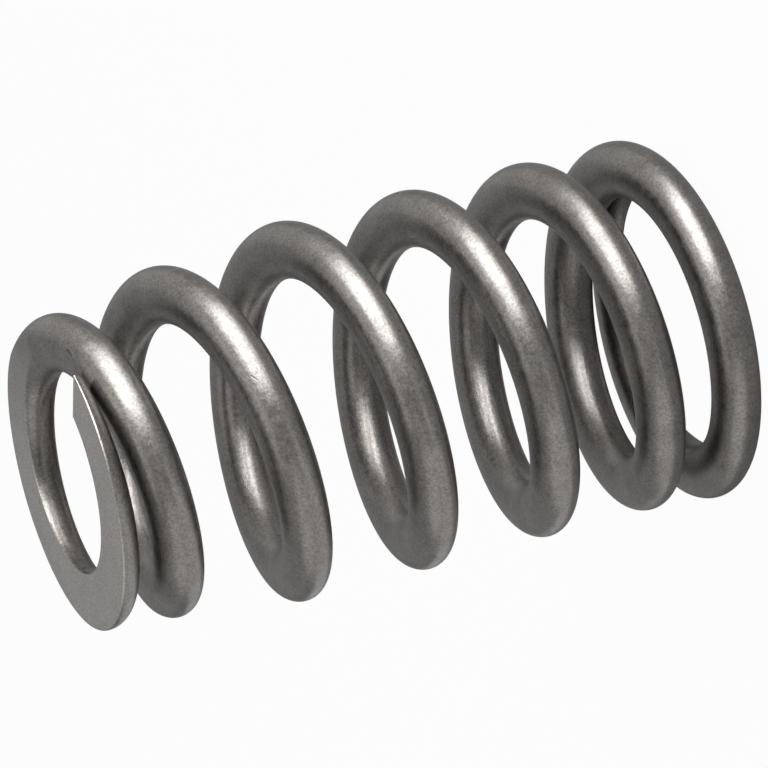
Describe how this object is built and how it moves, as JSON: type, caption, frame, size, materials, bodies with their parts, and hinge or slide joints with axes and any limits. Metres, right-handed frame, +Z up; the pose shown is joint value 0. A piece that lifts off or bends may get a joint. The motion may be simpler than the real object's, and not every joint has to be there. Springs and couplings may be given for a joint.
{
  "type": "engine valve spring",
  "caption": "Beehive valve spring: oval steel wire wound right-handed, tapering to a small top, with closed and flat-ground ends.",
  "frame": {"origin": "centre of the large ground end, which the spring stands on", "axes": "+Z up the spring's axis, from the large end to the small retainer end; +X through the cut end of the lowest coil"},
  "size_m": [0.0297, 0.0295, 0.0529],
  "materials": {
    "spring_steel": "shot-peened spring steel, satin dark warm grey, with ground flats at both ends"
  },
  "bodies": {
    "root": {"valve_spring": "spring_steel"}
  },
  "joints": []
}
